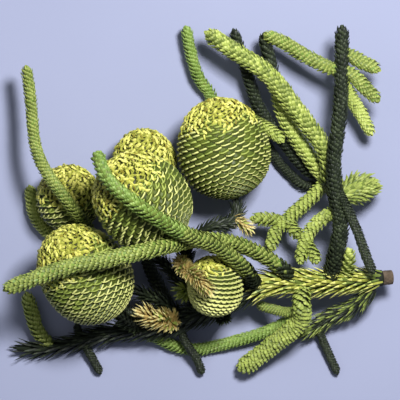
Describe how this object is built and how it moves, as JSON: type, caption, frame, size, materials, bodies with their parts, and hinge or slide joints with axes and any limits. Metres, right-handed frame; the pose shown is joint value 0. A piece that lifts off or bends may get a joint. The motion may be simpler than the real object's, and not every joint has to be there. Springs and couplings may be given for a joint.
{
  "type": "cone-bearing monkey puzzle branch",
  "caption": "Cut branch of a monkey puzzle tree lying down: rope-like shoots of overlapping scale leaves and round green cones on a thick leafy bough.",
  "frame": {"origin": "middle of the branch in plan, on the surface that it lies on", "axes": "+X along the main bough towards its cut end, +Z up from the surface that the branch lies on, +Y up in the view from above that the picture shows"},
  "size_m": [0.6914, 0.628, 0.3124],
  "materials": {
    "cones": "green scales, matte",
    "boughs": "dark leafy bark, matte",
    "shoots": "leathery leaves",
    "shaded_shoots": "dark leathery leaves",
    "leafy_twigs": "pale green leathery leaves",
    "dry_shoots": "dying tan leaves"
  },
  "bodies": {
    "root": {"cone_top": "cones", "cone_front": "cones", "cone_low": "cones", "cone_back": "cones", "cone_left": "cones", "cone_inner": "cones", "bough_base": "boughs", "bough_middle": "boughs", "bough_tip": "boughs", "lower_bough": "boughs", "upright_bough": "shaded_shoots", "whorl_stem": "shaded_shoots", "right_bough": "shoots", "whorl_shoot_1": "shoots", "whorl_shoot_2": "leafy_twigs", "whorl_shoot_3": "shaded_shoots", "whorl_shoot_4": "shaded_shoots", "far_shoot": "shoots", "blunt_shoot": "leafy_twigs", "crown_shoot_1": "shaded_shoots", "crown_shoot_2": "shoots", "crown_shoot_3": "leafy_twigs", "crown_shoot_4": "shoots", "side_shoot": "shoots", "twig_1": "leafy_twigs", "twig_2": "leafy_twigs", "twig_3": "leafy_twigs", "twig_4": "leafy_twigs", "twig_5": "leafy_twigs", "bough_shoot": "leafy_twigs", "arch_front_1": "shoots", "arch_front_2": "shoots", "arch_low_1": "shoots", "arch_low_2": "shoots", "cone_bough": "shaded_shoots", "stalk_cone_top": "shaded_shoots", "stalk_cone_back": "shaded_shoots", "stalk_cone_left": "shaded_shoots", "stalk_cone_low": "shaded_shoots", "stalk_cone_inner": "shaded_shoots", "dark_shoot_1": "shaded_shoots", "dark_shoot_2": "shaded_shoots", "left_shoot_1": "shoots", "left_shoot_2": "shoots", "edge_shoot_1": "leafy_twigs", "edge_shoot_2": "leafy_twigs", "fork_thick": "shoots", "fork_thin": "shoots", "under_shoot": "shoots", "thin_shoot_1": "shaded_shoots", "thin_shoot_2": "shaded_shoots", "thin_shoot_3": "shaded_shoots", "thin_shoot_4": "shaded_shoots", "dry_shoot_1": "dry_shoots", "dry_shoot_2": "dry_shoots", "dry_shoot_3": "dry_shoots", "tuft_shoot": "leafy_twigs"}
  },
  "joints": []
}
